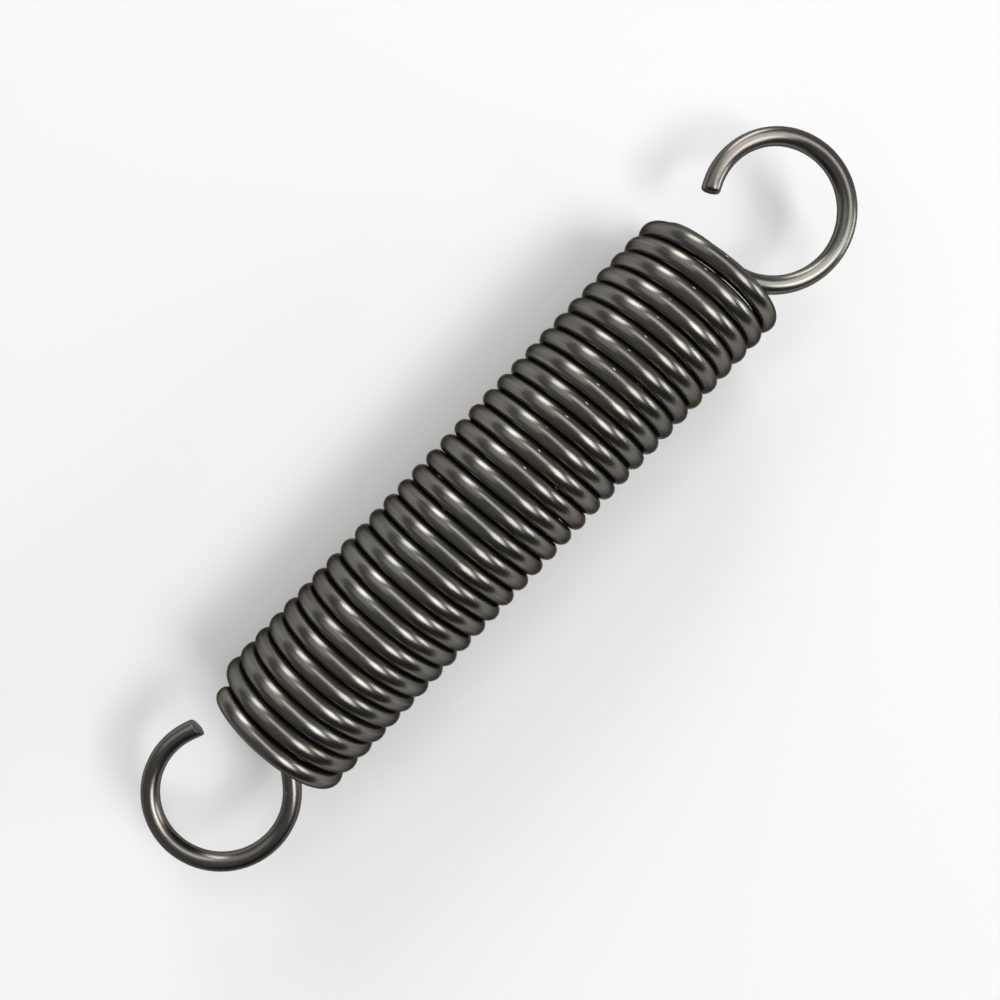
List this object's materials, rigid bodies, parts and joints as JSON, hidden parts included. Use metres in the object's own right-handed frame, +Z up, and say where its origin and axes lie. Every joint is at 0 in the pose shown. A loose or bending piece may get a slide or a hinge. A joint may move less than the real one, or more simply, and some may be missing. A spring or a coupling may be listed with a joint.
{
  "type": "extension spring",
  "caption": "Close-wound steel extension spring with a crossover loop at each end, which pulls together two parts hooked into its loops.",
  "frame": {"origin": "On the surface that the spring lies on, under the middle of its bounding box", "axes": "+X along the coil's axis to the loop whose tip is rounded, +Y to the side on which both tips lie, +Z up from the surface, square to the plane of both loops"},
  "size_m": [0.1002, 0.0172, 0.0169],
  "materials": {
    "spring_steel": "dark drawn spring wire, lightly oiled"
  },
  "bodies": {
    "root": {"spring": "spring_steel"}
  },
  "joints": []
}
